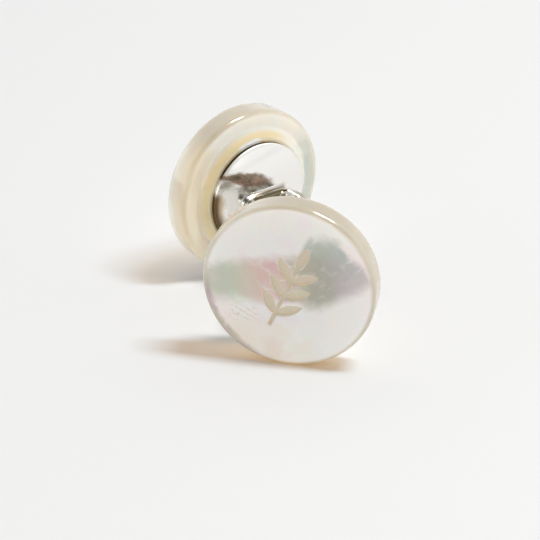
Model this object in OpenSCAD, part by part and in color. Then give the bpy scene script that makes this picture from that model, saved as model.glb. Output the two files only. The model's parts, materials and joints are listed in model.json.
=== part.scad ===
// Double-sided link cufflink: two round mother-of-pearl buttons, each with a silver
// cap and a soldered eye on its back, joined by one loose oval link of silver wire.
// It stands on the rims of both buttons. Z is up, the floor is z = 0, the front
// button faces -Y, and the origin is at the middle of the base of its bounding box.

/* [Buttons] */
// Diameter of each button
button_d = 14; // [12:0.5:18]
// Thickness of a button's rim
rim_t = 2.3; // [1.8:0.1:3]
// Rounding of the rim's outer edge
face_edge_r = 0.45; // [0.1:0.05:0.6]
// Rounding of the rim's inner edge, on the link's side
back_edge_r = 0.55; // [0.1:0.05:0.7]
// Diameter of the raised boss where it leaves the rim
boss_foot_d = 11.2; // [10.8:0.1:11.6]
// Diameter of the boss under the silver cap
boss_top_d = 9.6; // [9.4:0.1:10]
// Height of the boss above the rim
boss_h = 0.65; // [0.4:0.05:1.2]

/* [Engraving] */
// Depth of the engraved leaf sprig
cut_depth = 0.18; // [0.1:0.02:0.3]
// Length of the sprig from its foot to the tip of its top leaf
sprig_len = 7.8; // [6:0.2:8.4]
// Lean of the sprig to the right
sprig_lean = 24; // [0:1:40]
// Length of each leaf
leaf_len = 2.5; // [1.8:0.1:2.8]
// Width of each leaf
leaf_w = 0.95; // [0.6:0.05:1.2]
// Angle between a side leaf and the stem
leaf_angle = 48; // [30:1:60]
// Pairs of side leaves
leaf_pairs = 3; // [2:1:3]
// Width of the stem's cut
stem_w = 0.4; // [0.3:0.05:0.6]

/* [Silver caps] */
// Diameter of each cap
cap_d = 9.1; // [8.6:0.1:9.3]
// Height of the cap's straight edge
cap_edge_h = 0.35; // [0.3:0.05:0.6]
// Rise of the cap's dome above its edge
dome_rise = 0.8; // [0.4:0.1:1]
// Rounding between the cap's edge and its dome
cap_edge_r = 0.15; // [0.1:0.05:0.25]
// Glue line between a boss and its cap
glue_gap = 0.03; // [0.02:0.01:0.05]

/* [Eyes and link] */
// Diameter of the silver wire
wire_d = 1.25; // [1:0.05:1.3]
// Outer width of an eye
eye_w = 5.2; // [4.8:0.1:5.6]
// Reach of an eye's outer end above the cap's edge
eye_reach = 5.5; // [5.2:0.1:6.2]
// Radius of the wire's bend at the foot of an eye, on its centre line
eye_foot_r = 0.85; // [0.7:0.05:1.1]
// Depth that the foot of an eye sinks into the dome, at its solder joint
solder_sink = 0.35; // [0.2:0.05:0.5]
// Outer width of the link
link_w = 4.7; // [4.5:0.1:5.2]
// Play between the link's end and each eye's end
link_play = 0.3; // [0.2:0.05:0.5]
// Drop of the link's axis below the eyes
link_drop = 0.15; // [0:0.05:0.25]

/* [Stance] */
// Width of the flat under each rim, which keeps the cufflink from rolling
stand_flat = 2; // [1.6:0.1:2.4]
// Distance between the centres of the two cap edges
cap_spacing = 13.5; // [13.3:0.1:15]
// Turn of the front button about the vertical
front_turn = 27.2; // [20:0.1:30]
// Turn of the rear button about the vertical
rear_turn = 23.9; // [20:0.1:30]

/* [Hidden] */
$fn = 96;
WIRE_FN = 48;
SHELL = [0.93, 0.9, 0.84];
SILVER = [0.8, 0.79, 0.77];
EPS = 0.01;
button_r = button_d / 2;
wire_r = wire_d / 2;
cap_r = cap_d / 2;
// Heights along a button's axis, from its outer face towards the link
boss_z = rim_t + boss_h;
cap_z = boss_z + glue_gap;
cap_edge_z = cap_z + cap_edge_h;
apex_z = cap_edge_z + dome_rise;
dome_r = (cap_r * cap_r + dome_rise * dome_rise) / (2 * dome_rise);
// The rounding's centre, inside the cap's wall and inside its dome by its own radius
round_x = cap_r - cap_edge_r;
dome_mid_z = apex_z - dome_r;
round_z = dome_mid_z + sqrt(pow(dome_r - cap_edge_r, 2) - round_x * round_x);
// Direction from the dome's centre to the rounding's
round_dir = [round_x, round_z - dome_mid_z] / (dome_r - cap_edge_r);
// Height of the buttons' axes above the floor
axis_z = sqrt(button_r * button_r - stand_flat * stand_flat / 4);
eye_half_w = eye_w / 2 - wire_r;
eye_foot_z = apex_z + wire_r - solder_sink;
eye_end_z = cap_edge_z + eye_reach - wire_r;
// Where the link's end lies on an eye's axis, inside the eye
seat_z = eye_end_z - wire_d - link_play;
link_half_w = link_w / 2 - wire_r;

// Plan directions of the two buttons' axes, from outer face towards the link
front_dir = [sin(front_turn), cos(front_turn)];
rear_dir = [sin(rear_turn), -cos(rear_turn)];
// Outer face centres in plan, with the middle of the cap spacing as origin
front_face = [0, -cap_spacing / 2] - cap_edge_z * front_dir;
rear_face = [0, cap_spacing / 2] - cap_edge_z * rear_dir;

// Half extent of a rim along one plan axis, from its direction's two parts there
function half_extent(along, across) =
    (button_r - back_edge_r) * abs(across) + (rim_t / 2 - face_edge_r) * abs(along)
    + max(face_edge_r, back_edge_r);
function rim_box(face, dir, i) =
    let(mid = face[i] + dir[i] * rim_t / 2, h = half_extent(dir[i], dir[1 - i]))
    [mid - h, mid + h];
function box_mid(i) =
    let(a = rim_box(front_face, front_dir, i), b = rim_box(rear_face, rear_dir, i))
    (min(a[0], b[0]) + max(a[1], b[1])) / 2;
// Shift that puts the middle of the bounding box over the origin
shift = [-box_mid(0), -box_mid(1)];

front_seat = front_face + seat_z * front_dir;
rear_seat = rear_face + seat_z * rear_dir;
link_run = rear_seat - front_seat;
link_mid = (rear_seat + front_seat) / 2;
// To a whole micrometre, so that the wire's bends and straight runs meet exactly
link_half_len = round(norm(link_run) * 500) / 1000;

// Stands a piece, made along +Z with its outer face at z = 0, in a button's place
module stand(face, dir) {
    translate([face[0] + shift[0], face[1] + shift[1], axis_z])
        rotate([0, 0, atan2(dir[1], dir[0])])
            rotate([0, 90, 0]) rotate([0, 0, 90]) children();
}

// Outline of half a button's section, from its axis outwards
module button_section() {
    square([button_r - face_edge_r, rim_t / 2]);
    translate([0, face_edge_r]) square([button_r, rim_t - face_edge_r - back_edge_r]);
    translate([0, rim_t / 2]) square([button_r - back_edge_r, rim_t / 2]);
    translate([button_r - face_edge_r, face_edge_r]) circle(face_edge_r);
    translate([button_r - back_edge_r, rim_t - back_edge_r]) circle(back_edge_r);
    polygon([[0, rim_t - EPS], [boss_foot_d / 2, rim_t - EPS], [boss_foot_d / 2, rim_t],
             [boss_top_d / 2, boss_z], [0, boss_z]]);
}

module button() {
    color(SHELL) difference() {
        rotate_extrude() button_section();
        translate([-button_r, -axis_z - button_r, -EPS])
            cube([button_d, button_r, rim_t + 2 * EPS]);
    }
}

// Pointed leaf along +Y from its foot at the origin: two equal circles' overlap
module leaf() {
    half = leaf_len / 2;
    arc_r = (half * half + leaf_w * leaf_w / 4) / leaf_w;
    translate([0, half]) intersection() {
        translate([arc_r - leaf_w / 2, 0]) circle(arc_r);
        translate([leaf_w / 2 - arc_r, 0]) circle(arc_r);
    }
}

// Sprig of paired leaves on a straight stem, centred on the origin
module sprig() {
    stem_len = sprig_len - leaf_len;
    stem_lap = leaf_len / 4;
    leaf_foot = stem_w / 4;
    // The stem is bare at both ends, for this share of the step from pair to pair
    bare = 0.7;
    step = stem_len / (leaf_pairs - 1 + 2 * bare);
    rotate(-sprig_lean) translate([0, -sprig_len / 2]) {
        translate([-stem_w / 2, 0]) square([stem_w, stem_len + stem_lap]);
        translate([0, stem_len]) leaf();
        for (i = [0 : leaf_pairs - 1], side = [-1, 1])
            translate([side * leaf_foot, step * (i + bare)]) rotate(side * leaf_angle) leaf();
    }
}

// Half a bend of wire in the XY plane, about the origin, from angle a over sweep s
module wire_bend(r, a, s) {
    rotate(a) rotate_extrude(angle = s) translate([r, 0]) circle(wire_r, $fn = WIRE_FN);
}

// Straight wire from p to q in the XY plane
module wire_run(p, q) {
    d = q - p;
    translate([p[0], p[1], 0]) rotate([0, 0, atan2(d[1], d[0])]) rotate([0, 90, 0])
        cylinder(r = wire_r, h = norm(d), $fn = WIRE_FN);
}

// Eye in the XY plane with its foot bar on the X axis and its reach along +Y
module eye(reach) {
    half_bar = eye_half_w - eye_foot_r;
    top = reach - eye_half_w;
    wire_run([-half_bar, 0], [half_bar, 0]);
    for (side = [-1, 1]) {
        wire_run([side * eye_half_w, eye_foot_r], [side * eye_half_w, top]);
        translate([side * half_bar, eye_foot_r, 0])
            wire_bend(eye_foot_r, side > 0 ? 270 : 180, 90);
    }
    translate([0, top, 0]) wire_bend(eye_half_w, 0, 180);
}

// Outline of half a cap's section: its wall, the rounding and the dome's arc
module cap_section() {
    translate([0, cap_z]) square([cap_r, round_z - cap_z]);
    translate([round_x, round_z]) circle(cap_edge_r);
    top_z = apex_z + EPS;
    top_x = round_x + (top_z - round_z) * round_dir[0] / round_dir[1];
    intersection() {
        translate([0, dome_mid_z]) circle(dome_r);
        polygon([[0, cap_z], [round_x, cap_z], [round_x, round_z], [top_x, top_z], [0, top_z]]);
    }
}

// Domed cap with its eye soldered on, along +Z from the glue line
module cap_and_eye() {
    color(SILVER) union() {
        rotate_extrude() cap_section();
        translate([0, 0, eye_foot_z]) rotate([90, 0, 0]) eye(eye_end_z - eye_foot_z);
    }
}

module front_button() {
    stand(front_face, front_dir) difference() {
        button();
        translate([0, 0, -EPS]) linear_extrude(cut_depth + EPS) mirror([1, 0]) sprig();
    }
}

module rear_button() {
    stand(rear_face, rear_dir) button();
}

module front_cap_and_eye() {
    stand(front_face, front_dir) cap_and_eye();
}

module rear_cap_and_eye() {
    stand(rear_face, rear_dir) cap_and_eye();
}

// Oval link in an upright plane through both eyes
module link() {
    straight = link_half_len - link_half_w;
    color(SILVER)
        translate([link_mid[0] + shift[0], link_mid[1] + shift[1], axis_z - link_drop])
            rotate([0, 0, atan2(link_run[1], link_run[0])]) rotate([90, 0, 0]) {
                for (side = [-1, 1]) {
                    wire_run([-straight, side * link_half_w], [straight, side * link_half_w]);
                    translate([side * straight, 0, 0])
                        wire_bend(link_half_w, side > 0 ? -90 : 90, 180);
                }
            }
}

front_button();
rear_button();
front_cap_and_eye();
rear_cap_and_eye();
link();
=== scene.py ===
import json
import math
from types import SimpleNamespace

import bpy
import numpy as np
from mathutils import Matrix, Vector


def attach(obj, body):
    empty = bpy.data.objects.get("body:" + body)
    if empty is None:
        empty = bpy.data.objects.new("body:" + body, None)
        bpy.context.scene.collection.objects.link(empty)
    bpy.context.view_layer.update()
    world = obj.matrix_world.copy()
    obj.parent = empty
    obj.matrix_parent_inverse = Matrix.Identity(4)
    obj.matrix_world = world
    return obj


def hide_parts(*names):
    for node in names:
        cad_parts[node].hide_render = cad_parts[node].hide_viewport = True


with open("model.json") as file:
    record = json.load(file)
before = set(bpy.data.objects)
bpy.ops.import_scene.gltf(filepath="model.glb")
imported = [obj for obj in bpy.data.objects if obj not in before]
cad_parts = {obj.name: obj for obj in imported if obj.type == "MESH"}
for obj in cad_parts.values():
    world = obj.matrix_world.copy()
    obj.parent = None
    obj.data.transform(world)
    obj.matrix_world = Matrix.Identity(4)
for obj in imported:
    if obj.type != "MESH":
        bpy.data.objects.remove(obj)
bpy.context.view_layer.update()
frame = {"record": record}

# The two buttons. Each is one blank of mother-of-pearl, turned on a lathe to a thick flat rim with
# a lower boss on its back, which takes the silver cap. The rim and the face are polished to a soft
# gloss; the boss's side keeps the yellow, grainy outer layer of the shell.

# Sizes are in millimetres, in the button's own frame: x and y across, z from the outer face inwards.
button_r = 7.0
rim_t = 2.3
face_edge_r = 0.45
back_edge_r = 0.55
boss_foot_r = 5.6
boss_top_r = 4.8
boss_h = 0.65
foot_fillet = 0.35
brow_fillet = 0.2
engraved_r = 4.4
boss_z = rim_t + boss_h
face_rim_r = button_r - face_edge_r
back_rim_r = button_r - back_edge_r

mounts = {m["name"]: m for m in frame["record"]["mounts"]}
axis_height = mounts["rear_face"]["pos_m"][2]
MM = 0.001
up = Vector((0, 0, 1))


def stand(mount):
    """The matrix from a button's own millimetres to the frame's metres. The button's axis is level, at
    axis_height, and points from its outer face, where the mount is, towards the link."""
    inwards = -Vector(mount["axis"])
    turn = Matrix((up.cross(inwards), up, inwards)).transposed().to_4x4()
    x, y, _ = mount["pos_m"]
    return Matrix.Translation((x, y, axis_height)) @ turn @ Matrix.Scale(MM, 4)


front_place = stand(mounts["front_face"])
rear_place = stand(mounts["rear_face"])


def arc(centre, radius, start, end, steps):
    """Points on a circle about centre, from the angle start to end in degrees, one a row."""
    a = np.radians(np.linspace(start, end, steps))
    return np.stack([centre[0] + radius * np.cos(a), centre[1] + radius * np.sin(a)], 1)


def run(start, end, steps):
    """Points on a straight line between two points, both left out, one a row."""
    share = np.linspace(0, 1, steps + 2)[1:-1, None]
    return np.array(start) * (1 - share) + np.array(end) * share


def lathe(profile, turns):
    """The profile's rows of (radius, z) turned about the z axis, as points and faces: at angle a a point is
    (radius cos a, radius sin a, z). The first and the last row lie on the axis, each as one point, and
    the faces point outwards because the first has the lower z."""
    a = np.linspace(0, 2 * np.pi, turns, endpoint=False)
    r, z = profile[1:-1].T
    rings = np.stack(np.broadcast_arrays(np.outer(r, np.cos(a)), np.outer(r, np.sin(a)), z[:, None]), -1)
    points = np.vstack([rings.reshape(-1, 3), [[0, 0, profile[0, 1]], [0, 0, profile[-1, 1]]]])
    i, j = np.indices((len(r) - 1, turns))
    here, beside = i * turns + j, i * turns + (j + 1) % turns
    quads = np.stack([here, beside, beside + turns, here + turns], -1).reshape(-1, 4)
    j = np.arange(turns)
    k = (j + 1) % turns
    last = (len(r) - 1) * turns
    near = np.stack([np.full(turns, len(points) - 2), k, j], 1)
    far = np.stack([np.full(turns, len(points) - 1), last + j, last + k], 1)
    return points, quads.tolist() + near.tolist() + far.tolist()


def add_object(name, data):
    """A new object in the scene, with its mesh, camera or light as data."""
    made = bpy.data.objects.new(name, data)
    bpy.context.scene.collection.objects.link(made)
    return made


def add_piece(name, points, faces, place):
    """A smooth piece from points in millimetres, set into the frame by the matrix place. It rides on the
    one body."""
    at = np.c_[points, np.ones(len(points))] @ np.array(place).T
    mesh = bpy.data.meshes.new(name)
    mesh.from_pydata(at[:, :3].tolist(), [], faces)
    mesh.shade_smooth()
    piece = add_object(name, mesh)
    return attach(piece, "root")


def button_profile(face_radii):
    """Half of the button's section: the flat face, with a ring at each of face_radii, its rounded edge, the
    wall, the back edge, the back and the boss, whose foot is hollowed and whose brow is rounded."""
    slope = math.degrees(math.atan2(boss_h, boss_foot_r - boss_top_r))
    ease = math.tan(math.radians(slope / 2))
    foot = (boss_foot_r + foot_fillet * ease, rim_t + foot_fillet)
    brow = (boss_top_r - brow_fillet * ease, boss_z - brow_fillet)
    return np.vstack([
        np.c_[face_radii, np.zeros(len(face_radii))],
        arc((face_rim_r, face_edge_r), face_edge_r, -90, 0, 12),
        run((button_r, face_edge_r), (button_r, rim_t - back_edge_r), 12),
        arc((back_rim_r, rim_t - back_edge_r), back_edge_r, 0, 90, 12),
        run((back_rim_r, rim_t), (foot[0], rim_t), 8),
        arc(foot, foot_fillet, 270, 270 - slope, 9),
        run((boss_foot_r, rim_t), (boss_top_r, boss_z), 8)[2:-2],
        arc(brow, brow_fillet, 90 - slope, 90, 6),
        run((brow[0], boss_z), (0, boss_z), 6),
        [[0, boss_z]],
    ])


def on_its_flat(points):
    """The points of a button with the lowest part of its rim cut level, where it stands on the floor."""
    return np.c_[points[:, 0], np.maximum(points[:, 1], -axis_height / MM), points[:, 2]]


class Socket:
    """A value, colour or vector inside a material or the world. + - and * on values add Math nodes, also
    where the first of the two is a plain number, and node() adds any other node."""

    def __init__(self, tree, end=None):
        self.tree = tree
        self.end = end

    def node(self, kind, sockets, out=0, stops=None, **settings):
        """A new node of that kind: its settings and a ramp's stops come first, then each socket's value
        or link."""
        made = self.tree.nodes.new("ShaderNode" + kind)
        for key, value in settings.items():
            setattr(made, key, value)
        if stops:
            elements = made.color_ramp.elements
            while len(elements) < len(stops):
                elements.new(0)
            for element, (position, colour) in zip(elements, stops):
                element.position, element.color = position, (*colour, 1)
        for key, value in sockets.items():
            if isinstance(value, Socket):
                self.tree.links.new(value.end, made.inputs[key])
            else:
                made.inputs[key].default_value = value
        return Socket(self.tree, made.outputs[out])

    def maths(self, operation, first, second=0.0):
        """A Math node's result for one or two values, each a Socket or a plain number."""
        return self.node("Math", {0: first, 1: second}, operation=operation)

    def __add__(self, other):
        return self.maths("ADD", self, other)

    __radd__ = __add__

    def __sub__(self, other):
        return self.maths("SUBTRACT", self, other)

    def __rsub__(self, other):
        return self.maths("SUBTRACT", other, self)

    def __mul__(self, other):
        return self.maths("MULTIPLY", self, other)

    __rmul__ = __mul__

    def rise(self, low, high):
        """0 where this value is under low and 1 where it is over high, with a smooth rise between."""
        return self.node("MapRange", {"Value": self, "From Min": low, "From Max": high},
                         interpolation_type="SMOOTHSTEP")

    def fall(self, low, high):
        """1 where this value is under low and 0 where it is over high, with a smooth fall between."""
        return 1 - self.rise(low, high)

    def stretch(self, start, full, wane, end):
        """1 where this value is from full to wane, and 0 under start and over end."""
        return self.rise(start, full) * self.fall(wane, end)

    def near(self, middle, inner, outer):
        """1 where this value is within inner of middle, and 0 where it is further from it than outer."""
        return self.maths("ABSOLUTE", self - middle).fall(inner, outer)

    def along(self, direction):
        """How far this vector reaches in a direction, a vector whose length is 1."""
        return self.node("VectorMath", {0: self, 1: direction}, out="Value", operation="DOT_PRODUCT")

    def mix(self, none, full):
        """The colour none where this value is 0, full where it is 1. Among a Mix node's sockets 0 is the
        factor, and 6 and 7 are the two colours."""
        ends = {6: none if isinstance(none, Socket) else (*none, 1),
                7: full if isinstance(full, Socket) else (*full, 1)}
        return self.node("Mix", {0: self, **ends}, out=2, data_type="RGBA")


def tone(red, green, blue):
    """A colour read off as display values from 0 to 255, as the linear values that a shader takes."""
    return tuple(((c / 255 + 0.055) / 1.055) ** 2.4 for c in (red, green, blue))


def own_frame(shade, place):
    """Object coordinates in a piece's own millimetres, before place set it into the frame, as a vector and
    its x, y and z."""
    own = shade.node("Mapping", {
        "Vector": shade.node("TexCoord", {}, out="Object"), "Location": place.translation,
        "Rotation": place.to_3x3().normalized().to_euler(), "Scale": (MM, MM, MM),
    }, vector_type="TEXTURE")
    apart = [shade.node("SeparateXYZ", {0: own}, out=n) for n in range(3)]
    return own, *apart


def noise(shade, at, scale, detail, roughness=0.5, distortion=0.0, out="Fac"):
    """Cloudy noise at a point, whose clouds are smaller as scale is larger, with detail finer layers."""
    return shade.node("TexNoise", {"Vector": at, "Scale": scale, "Detail": detail, "Roughness": roughness,
                                   "Distortion": distortion}, out=out)


def empty_material(name):
    """A new material with nothing in it, and a Socket to build its nodes from."""
    material = bpy.data.materials.new(name)
    material.use_nodes = True
    material.node_tree.nodes.clear()
    return material, Socket(material.node_tree)


def show(shade, surface, owner="Material"):
    """Joins the finished shader to a new output node, of a material or of the world."""
    output = shade.tree.nodes.new("ShaderNodeOutput" + owner)
    shade.tree.links.new(surface.end, output.inputs["Surface"])


def shell_at(shade, place, spin):
    """What a point of a button has: x, y and z in millimetres and the radius from its axis; u to the right
    and v up, as the face is looked at, turned by spin degrees; and the shell's clouds, called hue_a, hue_b
    and drift, its wisps and its fine grain. bent_u and bent_v are u and v moved to and fro by the clouds
    and wisps, so that what follows them wavers."""
    own, x, y, z = own_frame(shade, place)
    c, s = math.cos(math.radians(spin)), math.sin(math.radians(spin))
    u = y * s - x * c
    v = y * c + x * s
    clouds = noise(shade, own, 0.33, 2.0, distortion=0.8, out="Color")
    hue_a, hue_b, drift = [shade.node("SeparateColor", {0: clouds}, out=n) for n in range(3)]
    wisps = noise(shade, own, 0.9, 4.0, distortion=1.0)
    grain = noise(shade, own, 7.0, 4.0, roughness=0.7)
    return SimpleNamespace(
        x=x, y=y, z=z, radius=shade.maths("SQRT", x * x + y * y), u=u, v=v,
        hue_a=hue_a, hue_b=hue_b, drift=drift, wisps=wisps, grain=grain,
        bent_u=u + (hue_a - 0.5) + (wisps - 0.5) * 0.9,
        bent_v=v + (drift - 0.5) + (wisps - 0.5) * 1.1)


def dull_band(shade, at):
    """How much of the dull band there is at a point of the face, from 0 to 1, and its colour. The band has a
    low left arm, and a tall right one that starts in a spike and slopes down to the rim."""
    u, v = at.bent_u, at.bent_v
    right_arm = (u - v * 0.12).rise(0.2, 1.3)
    left_top = u * 0.2 + 2.95
    right_top = shade.maths("MINIMUM", 5.15 - u * 0.15, 7.9 - u * 0.87)
    top = left_top + right_arm * (right_top - left_top)
    bottom = shade.maths("MAXIMUM", u * 0.6 - 3.1, -1.6)
    band = (v - bottom).rise(-0.7, 0.9) * (v - top).fall(-1.0, 0.3) * (1 - at.u.rise(3.8, 7.0) * 0.15)
    position = (u + v * 0.25) * (0.5 / button_r) + 0.5
    colour = shade.node("ValToRGB", {0: position}, stops=[
        (0.02, tone(206, 206, 192)), (0.17, tone(200, 209, 186)), (0.26, tone(217, 206, 186)),
        (0.35, tone(226, 190, 181)), (0.45, tone(219, 180, 179)), (0.53, tone(208, 194, 180)),
        (0.6, tone(177, 173, 152)), (0.72, tone(175, 172, 153)), (0.82, tone(184, 181, 175)),
        (0.97, tone(198, 194, 196))])
    teal = right_arm * v.rise(2.2, 3.8) * 0.7
    colour = teal.mix(colour, tone(190, 203, 190))
    purple = right_arm * at.u.rise(3.4, 4.6) * v.fall(0.6, 1.8) * 0.6
    colour = purple.mix(colour, tone(204, 188, 196))
    return band, (at.wisps.rise(0.5, 0.75) * 0.5).mix(colour, tone(222, 214, 206))


def with_growth_lines(shade, at, face):
    """The face's colour with its growth lines: pale arcs about one centre, in the pink patch, and short
    brownish ripples below it on the left. Each is a sine's crests, kept inside a patch."""
    across = at.bent_u + 0.2
    above = at.bent_v - 2.9
    from_centre = shade.maths("SQRT", across * across + above * above)
    arcs = shade.maths("SINE", from_centre * 5.2 + at.wisps * 3).rise(0.55, 1.0)
    inside = at.u.near(-0.9, 0.9, 2.2) * at.v.near(0.5, 1.0, 2.2)
    face = (arcs * inside * 0.6).mix(face, tone(230, 226, 216))
    ripples = shade.maths("SINE", (at.v + at.u * 0.45 + (at.wisps - 0.5) * 1.4) * 13).rise(0.5, 1.0)
    below = at.u.near(-3.6, 0.5, 1.6) * at.v.near(-2.7, 0.3, 1.0)
    return (ripples * below * 0.5).mix(face, tone(212, 190, 172))


def face_colour(shade, at):
    """A milky white ground with the faintest pink, green and cream clouds, the band and growth lines on it,
    and thin layers that come out at the rim: violet and green below on the left, and cream elsewhere."""
    ground = at.hue_a.rise(0.42, 0.62).mix(tone(249, 247, 243), tone(248, 241, 241))
    ground = (at.hue_b.rise(0.45, 0.65) * 0.7).mix(ground, tone(246, 248, 241))
    cream = at.v.fall(-5.0, -1.6) * at.u.fall(-0.5, 3.0) * at.drift.rise(0.3, 0.6)
    ground = (cream * 0.5).mix(ground, tone(236, 225, 206))
    band, band_colour = dull_band(shade, at)
    face = with_growth_lines(shade, at, (band * 0.92).mix(ground, band_colour))
    edge = (at.u.rise(2.5, 6.5) * 0.6).mix(tone(212, 204, 187), tone(190, 183, 168))
    face = at.radius.rise(face_rim_r - 0.05, face_rim_r + 0.3).mix(face, edge)
    flank = (at.u * 0.85 + at.v * 0.55).fall(-6.3, -5.0)
    flank = flank * (at.radius + (at.wisps - 0.5) * 0.5).rise(6.1, 6.65)
    layers = at.hue_b.rise(0.4, 0.6).mix(tone(172, 150, 156), tone(160, 168, 142))
    return (flank * 0.75).mix(face, layers)


def wall_colour(shade, at, wall_tones, inner_warmth):
    """Layers parallel to the face, between the first two wall_tones, that turn yellower inwards by
    inner_warmth, and to the third tone, a painted shade of darker beige, at the upper right."""
    dark_layer, pale_layer, beige = wall_tones
    depth = at.z + (at.drift - 0.5) * 0.9 + (at.wisps - 0.5) * 0.3
    layers = shade.maths("SINE", depth * 5) * 0.5 + 0.5
    wall = layers.mix(dark_layer, pale_layer)
    warm = (at.z + (at.hue_b - 0.5) * 1.2).rise(0.5, 1.6)
    wall = (warm * inner_warmth).mix(wall, tone(230, 209, 172))
    # Painted shade: the wall turns to a darker beige towards its upper right.
    high = (at.y + at.u * 0.8 + (at.drift - 0.5) * 2.5).rise(2.4, 6.8)
    return (high * 0.85).mix(wall, beige)


def back_colour(at):
    """White, creamy at the left and grey-green at the right. Seen from the back, x runs to the right."""
    back = at.hue_a.rise(0.4, 0.6).mix(tone(238, 235, 227), tone(235, 234, 225))
    back = at.x.fall(-6.0, -3.0).mix(back, tone(250, 237, 214))
    right = (at.x + (at.wisps - 0.5) * 3 - at.y * 0.2).rise(3.2, 6.2)
    return right.mix(back, tone(206, 211, 200))


def boss_colour(shade, at, brow):
    """Yellow, in the rings of the layers that the lathe cut through, beige above, grey-white at the right,
    and with a painted glint, a pale stretch along the brow."""
    ringed = shade.maths("SINE", at.radius * 11 + (at.drift - 0.5) * 5) * 0.5 + 0.5
    pale = ringed * 0.5 + at.grain.rise(0.35, 0.65) * 0.4
    boss = pale.mix(tone(250, 224, 168), tone(254, 240, 208))
    boss = (at.y.rise(0.5, 5.0) * 0.65).mix(boss, tone(222, 206, 168))
    boss = at.x.rise(1.6, 4.2).mix(boss, tone(232, 229, 215))
    # Painted glint: a pale stretch of the brow above the cap.
    painted_glint = at.x.stretch(-2.0, -1.3, 0.1, 0.7) * at.y.rise(1.0, 2.0)
    return (brow * painted_glint).mix(boss, tone(255, 252, 242))


def pearl(name, place, spin, wall_tones, inner_warmth, let_through):
    """Mother-of-pearl for one button: the colours of its face, wall, back, boss and cut, joined by depth and
    radius. let_through is the colour that one surface leaves of a lamp's light on its way through the
    shell, which makes the shadow amber."""
    material, shade = empty_material(name)
    at = shell_at(shade, place, spin)
    wall = wall_colour(shade, at, wall_tones, inner_warmth)
    colour = at.z.rise(0.15, face_edge_r).mix(face_colour(shade, at), wall)
    on_back = at.radius.fall(back_rim_r, back_rim_r + 0.45) * at.z.rise(rim_t - 0.6, rim_t - 0.3)
    colour = on_back.mix(colour, back_colour(at))
    on_boss = at.z.rise(rim_t + 0.04, rim_t + 0.32)
    brow = at.z.rise(boss_z - 0.13, boss_z - 0.07)
    colour = on_boss.mix(colour, boss_colour(shade, at, brow))
    # The cut is matt cream, and painted paler at its upper edges, a painted highlight where its walls meet
    # the face
    cut = at.z.stretch(0.01, 0.08, 0.5, 0.6) * at.radius.fall(engraved_r - 0.05, engraved_r + 0.1)
    cut_floor = at.grain.rise(0.3, 0.7).mix(tone(226, 214, 190), tone(232, 223, 204))
    colour = cut.mix(colour, at.z.fall(0.08, 0.16).mix(cut_floor, tone(240, 235, 222)))
    matt = on_boss * (1 - brow)
    rough = 0.15 + at.z.rise(0.3, 0.6) * 0.08 + matt * 0.25 + cut * 0.4
    height = at.wisps * 0.25 + at.grain * (on_boss * 0.5 + cut * 0.4 + 0.02)
    bump = shade.node("Bump", {"Height": height, "Strength": 0.3, "Distance": 0.06 * MM})
    surface = shade.node("BsdfPrincipled", {
        "Base Color": colour, "Roughness": rough, "Normal": bump, "IOR": 1.56,
        "Coat Weight": (1 - cut) * (1 - matt), "Coat Roughness": 0.03, "Coat IOR": 1.65,
        "Subsurface Weight": 0.8, "Subsurface Radius": (1.0, 0.72, 0.5), "Subsurface Scale": 1.8 * MM,
    })
    # A lamp's rays go through, tinted, and every other ray meets the surface
    lamp_ray = shade.node("LightPath", {}, out="Is Shadow Ray")
    passed = shade.node("BsdfTransparent", {"Color": (*let_through, 1)})
    show(shade, shade.node("MixShader", {0: lamp_ray, 1: surface, 2: passed}))
    return material


# The engraving in the front button's face: a sprig of leaves cut by hand with a flat graver, its floor
# left matt and its edges slightly soft.
cut_depth = 0.18
cut_edge = 0.1
sprig_len = 7.8
sprig_lean = 24.0
leaf_len = 2.5
leaf_w = 0.95
leaf_angle = 48.0
leaf_pairs = 3
stem_w = 0.4


def turned(p, degrees):
    """Points turned anticlockwise about the origin."""
    c, s = math.cos(math.radians(degrees)), math.sin(math.radians(degrees))
    return p @ np.array([[c, s], [-s, c]])


def outside_leaf(p, foot, angle):
    """Distance outside a leaf, less than 0 inside: the greater of the distances outside two equal circles
    whose overlap is the leaf, which starts at foot and points up, turned anticlockwise by angle."""
    q = turned(p - foot, -angle) - [0, leaf_len / 2]
    circle_r = (leaf_len ** 2 + leaf_w ** 2) / (4 * leaf_w)
    aside = circle_r - leaf_w / 2
    return np.maximum(np.hypot(q[:, 0] - aside, q[:, 1]), np.hypot(q[:, 0] + aside, q[:, 1])) - circle_r


def outside_sprig(p):
    """Distance outside the whole sprig: the least of the distances outside its stem and its leaves."""
    p = turned(p, sprig_lean) + [0, sprig_len / 2]
    stem_len = sprig_len - leaf_len
    # The stem is bare below the first pair of leaves and above the last, for this share of a step
    bare = 0.7
    step = stem_len / (leaf_pairs - 1 + 2 * bare)
    # It ends a quarter of the way up the end leaf
    stem_mid = (stem_len + leaf_len / 4) / 2
    least = np.maximum(np.abs(p[:, 0]) - stem_w / 2, np.abs(p[:, 1] - stem_mid) - stem_mid)
    least = np.minimum(least, outside_leaf(p, [0, stem_len], 0))
    for pair in range(leaf_pairs):
        for side in (-1, 1):
            foot = [side * stem_w / 4, step * (pair + bare)]
            least = np.minimum(least, outside_leaf(p, foot, side * leaf_angle))
    return least


def engraved(points):
    """The front button's points with the sprig sunk into the face. The depth rises smoothly from 0 at the
    sprig's outline to cut_depth at cut_edge inside it. Seen from outside, x runs to the left."""
    on_face = (points[:, 2] == 0) & (np.hypot(points[:, 0], points[:, 1]) < engraved_r)
    as_seen = points[:, :2] * [-1, 1]
    inside = np.clip(-outside_sprig(as_seen) / cut_edge, 0, 1)
    depth = cut_depth * inside ** 2 * (3 - 2 * inside)
    return np.c_[points[:, :2], points[:, 2] + np.where(on_face, depth, 0)]


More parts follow.
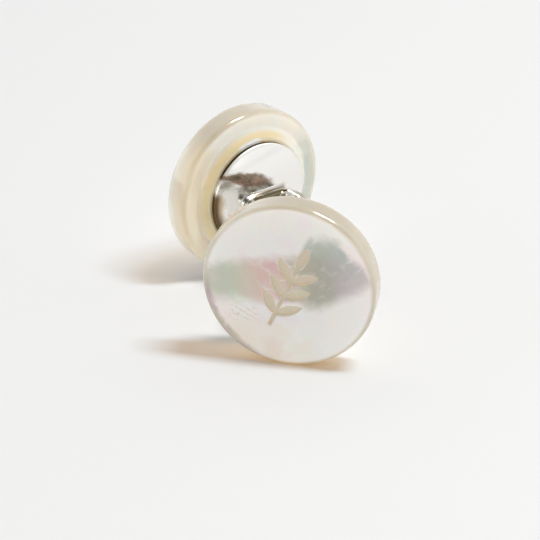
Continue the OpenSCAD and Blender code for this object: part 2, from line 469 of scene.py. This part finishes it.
# The front button, of slightly greyer shell, is turned first and then engraved. Its rings are close
# together where the sprig is, so that the cut has clean edges.
close_rings = np.linspace(0, engraved_r, 93)
open_rings = np.linspace(engraved_r, face_rim_r, 12)[1:-1]
# The third of the wall tones is a painted shade for the top of the wall.
front_walls = (tone(200, 194, 176), tone(210, 204, 188), tone(190, 180, 157))
front_shell = pearl("pearl_of_front", front_place, spin=0, wall_tones=front_walls, inner_warmth=0.15,
                    let_through=(0.6, 0.42, 0.08))
points, faces = lathe(button_profile(np.r_[close_rings, open_rings]), turns=512)
front_button = add_piece("pearl_front", on_its_flat(engraved(points)), faces, front_place)
front_button.data.materials.append(front_shell)
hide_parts("front_button")

# The rear button is turned alike, of a paler and warmer shell, and left plain. No two blanks have their
# band in the same place, so its own is turned round.
# The third of the wall tones is a painted shade for the top of the wall.
rear_walls = (tone(235, 232, 214), tone(243, 241, 227), tone(198, 190, 171))
rear_shell = pearl("pearl_of_rear", rear_place, spin=140, wall_tones=rear_walls, inner_warmth=0.6,
                   let_through=(0.7, 0.61, 0.48))
points, faces = lathe(button_profile(np.linspace(0, face_rim_r, 30)[:-1]), turns=384)
rear_button = add_piece("pearl_rear", on_its_flat(points), faces, rear_place)
rear_button.data.materials.append(rear_shell)
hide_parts("rear_button")

# The silver caps. Each is a shallow dome of polished sterling silver with a low straight edge, glued on
# the boss, and a D-shaped eye of round wire is soldered across its middle before it is polished.
glue_gap = 0.03
cap_r = 4.55
cap_edge_h = 0.35
cap_edge_r = 0.15
dome_rise = 0.8
wire_r = 0.625
eye_half_w = 1.975
eye_foot_r = 0.85
eye_reach = 5.5
solder_sink = 0.35
solder_r = 0.3

cap_z = boss_z + glue_gap
cap_edge_z = cap_z + cap_edge_h
apex_z = cap_edge_z + dome_rise
dome_r = (cap_r ** 2 + dome_rise ** 2) / (2 * dome_rise)
dome_mid_z = apex_z - dome_r
round_x = cap_r - cap_edge_r
round_z = dome_mid_z + math.sqrt((dome_r - cap_edge_r) ** 2 - round_x ** 2)
dome_edge = math.degrees(math.atan2(round_z - dome_mid_z, round_x))
eye_foot_z = apex_z + wire_r - solder_sink
eye_end_z = cap_edge_z + eye_reach - wire_r


def cap_profile():
    """Half of the cap's section, from the middle of its flat base round the wall, the rounding and the
    dome's arc to the apex."""
    base_rim = 0.05
    return np.vstack([
        [[0, cap_z]],
        run((0, cap_z), (cap_r - base_rim, cap_z), 6),
        arc((cap_r - base_rim, cap_z + base_rim), base_rim, -90, 0, 5),
        run((cap_r, cap_z + base_rim), (cap_r, round_z), 6),
        arc((round_x, round_z), cap_edge_r, 0, dome_edge, 10),
        arc((0, dome_mid_z), dome_r, dome_edge, 90, 72)[1:],
    ])


def carried(middle, first_way, second_way, section):
    """A closed section carried round a closed path, as points and faces: a point is the path's middle, plus
    the section's first number along first_way, plus its second along second_way. Each of the four has a
    row for each step of the path."""
    sideways = section[..., :1] * first_way[:, None] + section[..., 1:] * second_way[:, None]
    points = middle[:, None] + sideways
    steps, around = points.shape[:2]
    i, j = np.indices((steps, around))
    ahead, beside = (i + 1) % steps, (j + 1) % around
    faces = np.stack([i * around + j, ahead * around + j, ahead * around + beside, i * around + beside], -1)
    return points.reshape(-1, 3), faces.reshape(-1, 4).tolist()


def upright(route):
    """Rows of (x, z) as rows of (x, 0, z)."""
    return np.insert(route, 1, 0.0, axis=1)


def wire(path):
    """Round wire along a closed path in the xz plane: a circle of the wire's radius, carried square to
    the path."""
    ahead = np.roll(path, -1, 0) - np.roll(path, 1, 0)
    ahead /= np.linalg.norm(ahead, axis=1)[:, None]
    flat = np.tile([0.0, 1.0, 0.0], (len(path), 1))
    a = np.linspace(0, 2 * np.pi, 48, endpoint=False)
    circle = wire_r * np.stack([np.cos(a), np.sin(a)], 1)
    return carried(path, np.cross(ahead, flat), flat, np.broadcast_to(circle, (len(path), *circle.shape)))


def eye_path():
    """The middle of the eye's wire: a straight foot bar on the dome, two small bends, straight limbs and a
    half circle at the end, as rows of (x, 0, z)."""
    half_bar = eye_half_w - eye_foot_r
    bend_z = eye_foot_z + eye_foot_r
    round_off_z = eye_end_z - eye_half_w
    return upright(np.vstack([
        run((-half_bar, eye_foot_z), (half_bar, eye_foot_z), 22),
        arc((half_bar, bend_z), eye_foot_r, -90, 0, 20),
        run((eye_half_w, bend_z), (eye_half_w, round_off_z), 14),
        arc((0, round_off_z), eye_half_w, 0, 180, 60),
        run((-eye_half_w, round_off_z), (-eye_half_w, bend_z), 14),
        arc((-half_bar, bend_z), eye_foot_r, 180, 270, 20),
    ]))


def solder():
    """The fillet of solder round the eye's foot bar: a closed section, hollow on its outer side, carried
    round an oval on the dome. At angle a it faces outwards at a, from half_oval tanh(3 cos a) along the
    bar. The hollow arc touches the dome outside and the wire inside. The section's last three corners
    lie inside the wire and under the dome."""
    half_oval = 1.6
    under = 0.3
    a = np.linspace(0, 2 * np.pi, 96, endpoint=False)
    out = np.stack([np.cos(a), np.sin(a), 0 * a], 1)
    middle = np.stack([half_oval * np.tanh(3 * np.cos(a)), 0 * a, 0 * a], 1)
    straight_up = np.tile([0.0, 0.0, 1.0], (len(a), 1))
    reach = wire_r + solder_r
    foot = middle + reach * out
    dome_z = dome_mid_z + np.sqrt(dome_r ** 2 - foot[:, 0] ** 2 - foot[:, 1] ** 2)
    hollow = arc((reach, solder_r), solder_r, 270, 170, 9)
    section = np.vstack([hollow, [[wire_r - 0.25, 0.1], [wire_r - 0.1, -under], [reach, -under]]])
    section = np.broadcast_to(section, (len(a), *section.shape)).copy()
    section[..., 1] += dome_z[:, None]
    return carried(middle, out, straight_up, section)


def joined(*parts):
    """Several (points, faces) as one."""
    points, faces = [], []
    start = 0
    for more, theirs in parts:
        points.append(more)
        faces += [[n + start for n in face] for face in theirs]
        start += len(more)
    return np.vstack(points), faces


def wire_colour(shade, z, place, cap_with_painted_light):
    """A little darker than the cap all over, a painted dark reflection. Where the last argument is 1, the
    eye's foot has a painted reflection too: bright on the side that faces the cap and olive on the side that
    faces the link."""
    normal = shade.node("NewGeometry", {}, out="Normal")
    inwards = place.col[2].xyz.normalized()
    at_foot = z.fall(apex_z + 1.0, apex_z + 2.0) * cap_with_painted_light
    # Painted reflection: an even darkening, and at the eye's foot bright or olive by which way the surface
    # faces.
    even = 0.4
    dull = even + at_foot * (normal.along(inwards).rise(0.0, 0.3) - even)
    return dull.mix(tone(242, 239, 230), tone(112, 104, 80))


def painted_light_on_cap(shade, x, y, loose):
    """How much there is of each painted mark on a cap, from 0 to 1: a brown band of painted reflection from
    the left to above the eye's foot, widest in its middle, a brown patch of painted reflection at the left,
    a dark line of painted shade and reflection above and at the left, and a white strip of painted
    reflection beside the patch. loose, in millimetres, moves their outlines to and fro."""
    # Each mask here is painted light: reflections and shade, not marks on the silver.
    swell = x.stretch(-3.6, -1.6, -1.1, 0.6) * 0.28
    from_middle = shade.maths("ABSOLUTE", y + x * 0.28 - 1.65 + loose)
    painted_reflection_band = (from_middle - swell).fall(0.08, 0.38) * x.stretch(-4.6, -3.8, 0.2, 1.2)
    beside = x + loose * 0.5
    painted_reflection_at_left = beside.fall(-4.0, -3.5) * y.fall(0.8, 1.6)
    # The dark line: painted shade and dark reflection on the straight edge.
    edge = shade.maths("MAXIMUM", (y + loose * 0.5 - x * 0.1).rise(2.2, 3.4), painted_reflection_at_left * 0.7)
    # The white strip: a painted reflection.
    painted_white_reflection = (beside + y * 0.15).rise(-3.8, -3.3) * beside.fall(-2.9, -2.3) * y.fall(1.0, 1.9)
    return painted_reflection_band, painted_reflection_at_left, edge, painted_white_reflection


def silver(name, place, cap_with_painted_light):
    """Silver with faint hairlines from the polishing wheel: bright on the cap, darker on the wire by a
    painted dark reflection, and brown in the corner between the two. The last argument, 0 or 1, says whether
    the piece is a cap with its eye, which takes the cap's colour and the painted light on it: brown and
    white painted reflections, and a dark line of painted shade and reflection on the straight edge, with the
    rounding above it matt."""
    material, shade = empty_material(name)
    own, x, y, z = own_frame(shade, place)
    streaks = noise(shade, own, 2.2, 6.0, roughness=0.65, distortion=0.8)
    specks = noise(shade, own, 9.0, 4.0, roughness=0.7)
    drift = noise(shade, own, 1.1, 1.0)
    on_cap = z.fall(apex_z + 0.02, apex_z + 0.1) * cap_with_painted_light
    colour = on_cap.mix(wire_colour(shade, z, place, cap_with_painted_light), tone(246, 244, 240))
    beside_foot = x.near(0, 1.9, 2.4) * y.near(0, 0.5, 0.95)
    corner = beside_foot * z.stretch(apex_z - 0.5, apex_z - 0.3, apex_z + 0.05, apex_z + 0.45)
    colour = (corner * x.rise(-2.2, -1.2) * 0.7).mix(colour, tone(140, 120, 96))
    loose = (drift - 0.5) * 0.7 + (specks - 0.5) * 0.15
    # The painted light on the cap: brown and white painted reflections and a dark painted line of shade.
    painted_reflection_band, painted_reflection_at_left, edge, painted_white_reflection = [mark * on_cap for mark in painted_light_on_cap(shade, x, y, loose)]
    colour = (painted_reflection_band * 0.9).mix(colour, drift.rise(0.4, 0.6).mix(tone(110, 96, 68), tone(156, 124, 102)))
    colour = (painted_reflection_at_left * 0.7).mix(colour, tone(168, 144, 108))
    # Painted reflection, darker brown low on the left.
    colour = (painted_reflection_at_left * z.fall(cap_edge_z + 0.05, cap_edge_z + 0.2)).mix(colour, tone(118, 96, 68))
    # Painted shade and reflection: the dark line low on the straight edge.
    colour = (edge * z.fall(cap_edge_z - 0.12, cap_edge_z - 0.03)).mix(colour, tone(70, 64, 44))
    # Painted reflection: the white strip.
    colour = painted_white_reflection.mix(colour, tone(252, 251, 247))
    matt = edge * z.fall(cap_edge_z, cap_edge_z + 0.12)
    rough = 0.2 - on_cap * 0.06 + streaks * 0.06 + (corner + painted_reflection_band) * 0.1 + matt * 0.4 + painted_white_reflection * 0.3
    bump = shade.node("Bump", {"Height": streaks + specks * 0.2, "Strength": 0.25, "Distance": 0.02 * MM})
    surface = shade.node("BsdfPrincipled", {
        "Base Color": colour, "Roughness": rough, "Metallic": 1 - painted_white_reflection * 0.95, "Normal": bump})
    show(shade, surface)
    return material


cap = lathe(cap_profile(), turns=256)
eye = wire(eye_path())
cap_and_eye = joined(cap, eye, solder())
for side, place in (("front", front_place), ("rear", rear_place)):
    piece = add_piece(f"silver_cap_{side}", *cap_and_eye, place)
    piece.data.materials.append(silver(f"silver_of_{side}", place, 1.0))
    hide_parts(f"{side}_cap_and_eye")

# The link: one loose oval of the same silver wire, closed by solder and polished, which hangs through
# both eyes in an upright plane and lets the two buttons swing.
link_half_w = 1.725
link_drop = 0.15
link_play = 0.3
seat_z = eye_end_z - 2 * wire_r - link_play
seats = [place @ Vector((0, 0, seat_z)) for place in (front_place, rear_place)]
span = seats[1] - seats[0]
link_half_len = span.length / MM / 2
link_axis = span.normalized()
link_turn = Matrix((link_axis, up.cross(link_axis), up)).transposed().to_4x4()
link_mid = (seats[0] + seats[1]) / 2 - up * link_drop * MM
link_place = Matrix.Translation(link_mid) @ link_turn @ Matrix.Scale(MM, 4)
straight = link_half_len - link_half_w
link_path = upright(np.vstack([
    arc((straight, 0), link_half_w, -90, 90, 48),
    run((straight, link_half_w), (-straight, link_half_w), 14),
    arc((-straight, 0), link_half_w, 90, 270, 48),
    run((-straight, -link_half_w), (straight, -link_half_w), 14),
]))
link = add_piece("silver_link", *wire(link_path), link_place)
link.data.materials.append(silver("silver_of_link", link_place, 0.0))
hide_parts("link")

# The floor: a sheet of smooth white paper, 3 metres wide and laid flat, on which both buttons stand. It is
# lit almost to pure white.
floor_half = 1.5
floor_mesh = bpy.data.meshes.new("floor")
corners = [(-1, -1), (1, -1), (1, 1), (-1, 1)]
floor_mesh.from_pydata([(a * floor_half, b * floor_half, 0) for a, b in corners], [], [(0, 1, 2, 3)])
paper, shade = empty_material("white_paper")
show(shade, shade.node("BsdfPrincipled", {"Base Color": (0.86, 0.868, 0.876, 1), "Roughness": 0.9,
                                          "Specular IOR Level": 0.1}))
floor_mesh.materials.append(paper)
floor = add_object("floor", floor_mesh)

# The camera: upright, with a long lens, looking down on the front button's face, a little from the right
# of it. Its place is in metres, and its lens in millimetres.
camera_at = Vector((-0.061597, -0.260115, 0.141185))
looks_along = Vector((0.20946, 0.86188, -0.46184))
camera = add_object("camera", bpy.data.cameras.new("camera"))
camera.data.lens = 247.75
camera.data.sensor_width = 36.0
camera.data.shift_x = -0.0325
camera.data.shift_y = 0.0318
camera.data.clip_start = 0.01
camera.location = camera_at
camera.rotation_mode = "QUATERNION"
camera.rotation_quaternion = looks_along.to_track_quat("-Z", "Y")
bpy.context.scene.camera = camera

# The light: a white room, brighter low down on the left and unlit above the camera's side, so that the
# silver has something dark to show, and one upright strip of a soft box, high up on the right, which
# casts the shadows.
world = bpy.data.worlds.new("room")
bpy.context.scene.world = world
world.use_nodes = True
world.node_tree.nodes.clear()
room = Socket(world.node_tree)
towards = room.node("TexCoord", {}, out="Generated")
unlit_side = Vector((-0.1, -0.45, 0.89)).normalized()
bright_side = Vector((-0.8, -0.6, 0))
low_down = towards.along(bright_side).rise(-0.3, 0.6).mix((1.0, 1.0, 1.0), (1.6, 1.6, 1.61))
walls = towards.along(up).rise(0.05, 0.55).mix(low_down, (0.78, 0.78, 0.79))
colour = towards.along(unlit_side).rise(0.5, 0.8).mix(walls, (0.05, 0.045, 0.038))
show(room, room.node("Background", {"Color": colour, "Strength": 1.0}), owner="World")

# The soft box's place is told from the frame's origin: how far off it is, how many degrees up, and how many
# degrees round from the camera's right, away from the camera. Lengths are in metres, its power in watts.
box_distance = 0.6
box_elevation = 66.0
box_azimuth = -9.5
box_width = 0.06
box_height = 0.22
box_power = 2.4
right = looks_along.cross(up).normalized()
beyond = up.cross(right)
level = right * math.cos(math.radians(box_azimuth)) + beyond * math.sin(math.radians(box_azimuth))
to_box = level * math.cos(math.radians(box_elevation)) + up * math.sin(math.radians(box_elevation))
soft_box = add_object("soft_box", bpy.data.lights.new("soft_box", "AREA"))
soft_box.data.energy = box_power
soft_box.data.shape = "RECTANGLE"
soft_box.data.size = box_width
soft_box.data.size_y = box_height
soft_box.data.color = (1.0, 0.985, 0.96)
soft_box.location = to_box * box_distance
soft_box.rotation_mode = "QUATERNION"
soft_box.rotation_quaternion = (-to_box).to_track_quat("-Z", "Y")
bpy.context.scene.view_settings.view_transform = "Standard"
